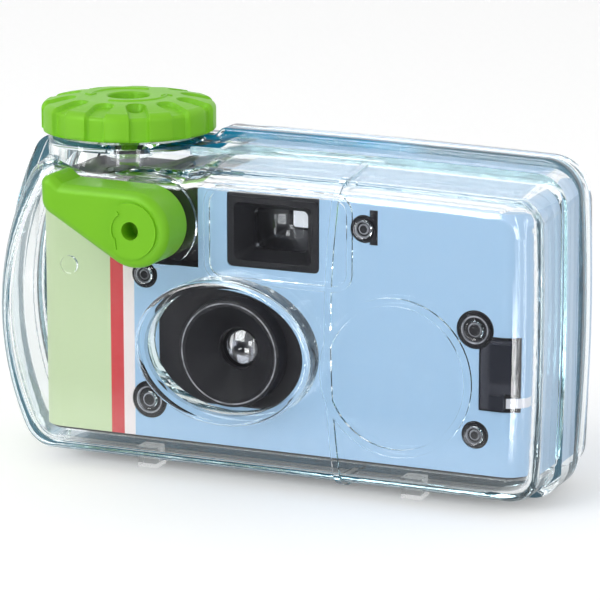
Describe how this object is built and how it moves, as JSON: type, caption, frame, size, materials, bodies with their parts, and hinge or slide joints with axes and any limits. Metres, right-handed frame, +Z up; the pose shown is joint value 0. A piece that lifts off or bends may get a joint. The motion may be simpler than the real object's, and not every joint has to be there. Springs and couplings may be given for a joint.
{
  "type": "single-use film camera in a waterproof housing",
  "caption": "Single-use 35 mm film camera sealed in a clear waterproof housing, with a winding knob on top and a shutter lever on the front.",
  "frame": {"origin": "middle of the overall box, on the plane under the housing's four feet", "axes": "+X to the right seen from the front, +Z up, the lens looks along -Y"},
  "size_m": [0.1284, 0.0496, 0.0776],
  "materials": {
    "clear_plastic": "clear, glossy",
    "gasket_rubber": "translucent cyan, satin",
    "green_plastic": "satin",
    "steel": "plain",
    "grey_plastic": "satin",
    "seal_rubber": "satin",
    "black_plastic": "satin",
    "label_card": "printed card, satin",
    "lens_plastic": "polished",
    "white_plastic": "satin",
    "cartridge_metal": "satin",
    "film_base": "dark brown"
  },
  "bodies": {
    "root": {"front_shell": "clear_plastic", "rear_shell": "clear_plastic", "housing_gasket": "gasket_rubber", "lever_spring": "steel", "shutter_pin": "steel", "pawl_pin": "steel", "knob_seal": "seal_rubber", "lever_seal": "seal_rubber", "camera_front_cover": "black_plastic", "camera_rear_cover": "black_plastic", "camera_chassis": "black_plastic", "upper_deck": "black_plastic", "hatch_plate": "black_plastic", "lens_panel": "black_plastic", "lens_hood": "black_plastic", "lens_holder": "black_plastic", "aperture_plate": "black_plastic", "viewfinder_frame": "black_plastic", "label_sleeve": "label_card", "taking_lens": "lens_plastic", "viewfinder_front_lens": "lens_plastic", "viewfinder_rear_lens": "lens_plastic", "counter_window": "lens_plastic", "film_cartridge": "cartridge_metal", "film_strip": "film_base"},
    "winder": {"wind_knob": "green_plastic", "knob_shaft": "green_plastic", "knob_clip": "steel", "wind_wheel": "grey_plastic", "cartridge_spool": "grey_plastic"},
    "sprocket": {"sprocket_wheel": "grey_plastic"},
    "supply": {"supply_spool": "grey_plastic", "film_roll": "film_base"},
    "counter": {"counter_disc": "white_plastic"},
    "lever": {"shutter_lever": "green_plastic", "lever_shaft": "steel", "release_arm": "grey_plastic"},
    "release": {"release_button": "grey_plastic"},
    "blade": {"shutter_blade": "black_plastic"},
    "pawl": {"lock_pawl": "grey_plastic"}
  },
  "joints": [
    {"name": "winder_turn", "type": "hinge", "parent": "root", "child": "winder", "pos_m": [-0.0362, 0.00485, 0.0738], "axis": [0, 0, 1], "continuous": true},
    {"name": "sprocket_turn", "type": "hinge", "parent": "root", "child": "sprocket", "pos_m": [-0.0158, 0.01015, 0.048], "axis": [0, 0, 1], "continuous": true},
    {"name": "supply_turn", "type": "hinge", "parent": "root", "child": "supply", "pos_m": [0.0462, 0.0059, 0.03], "axis": [0, 0, 1], "continuous": true},
    {"name": "counter_turn", "type": "hinge", "parent": "root", "child": "counter", "pos_m": [-0.015, 0.00395, 0.0596], "axis": [0, 0, 1], "continuous": true},
    {"name": "lever_turn", "type": "hinge", "parent": "root", "child": "lever", "pos_m": [-0.0218, -0.019, 0.0548], "axis": [0, -1, 0], "range_deg": [0, 11], "stiffness_Nm_per_rad": 0.1, "springref_deg": -2.86},
    {"name": "release_slide", "type": "slide", "parent": "root", "child": "release", "axis": [0, 0, -1], "range_m": [0, 0.00205]},
    {"name": "blade_turn", "type": "hinge", "parent": "root", "child": "blade", "pos_m": [0.0024, -0.0042, 0.0339], "axis": [0, -1, 0], "range_deg": [0, 38], "stiffness_Nm_per_rad": 0.001, "springref_deg": -5.73},
    {"name": "pawl_turn", "type": "hinge", "parent": "root", "child": "pawl", "pos_m": [-0.0241, 0.01105, 0.0575], "axis": [0, 0, 1], "range_deg": [-6, 0], "stiffness_Nm_per_rad": 0.001, "springref_deg": 2.86}
  ],
  "couplings": [
    {"joint": "sprocket_turn", "follows": "winder_turn", "ratio": 1.154},
    {"joint": "supply_turn", "follows": "winder_turn", "ratio": 0.588},
    {"joint": "counter_turn", "follows": "winder_turn", "ratio": -0.0412},
    {"joint": "release_slide", "follows": "lever_turn", "m_per_rad": 0.0105}
  ]
}
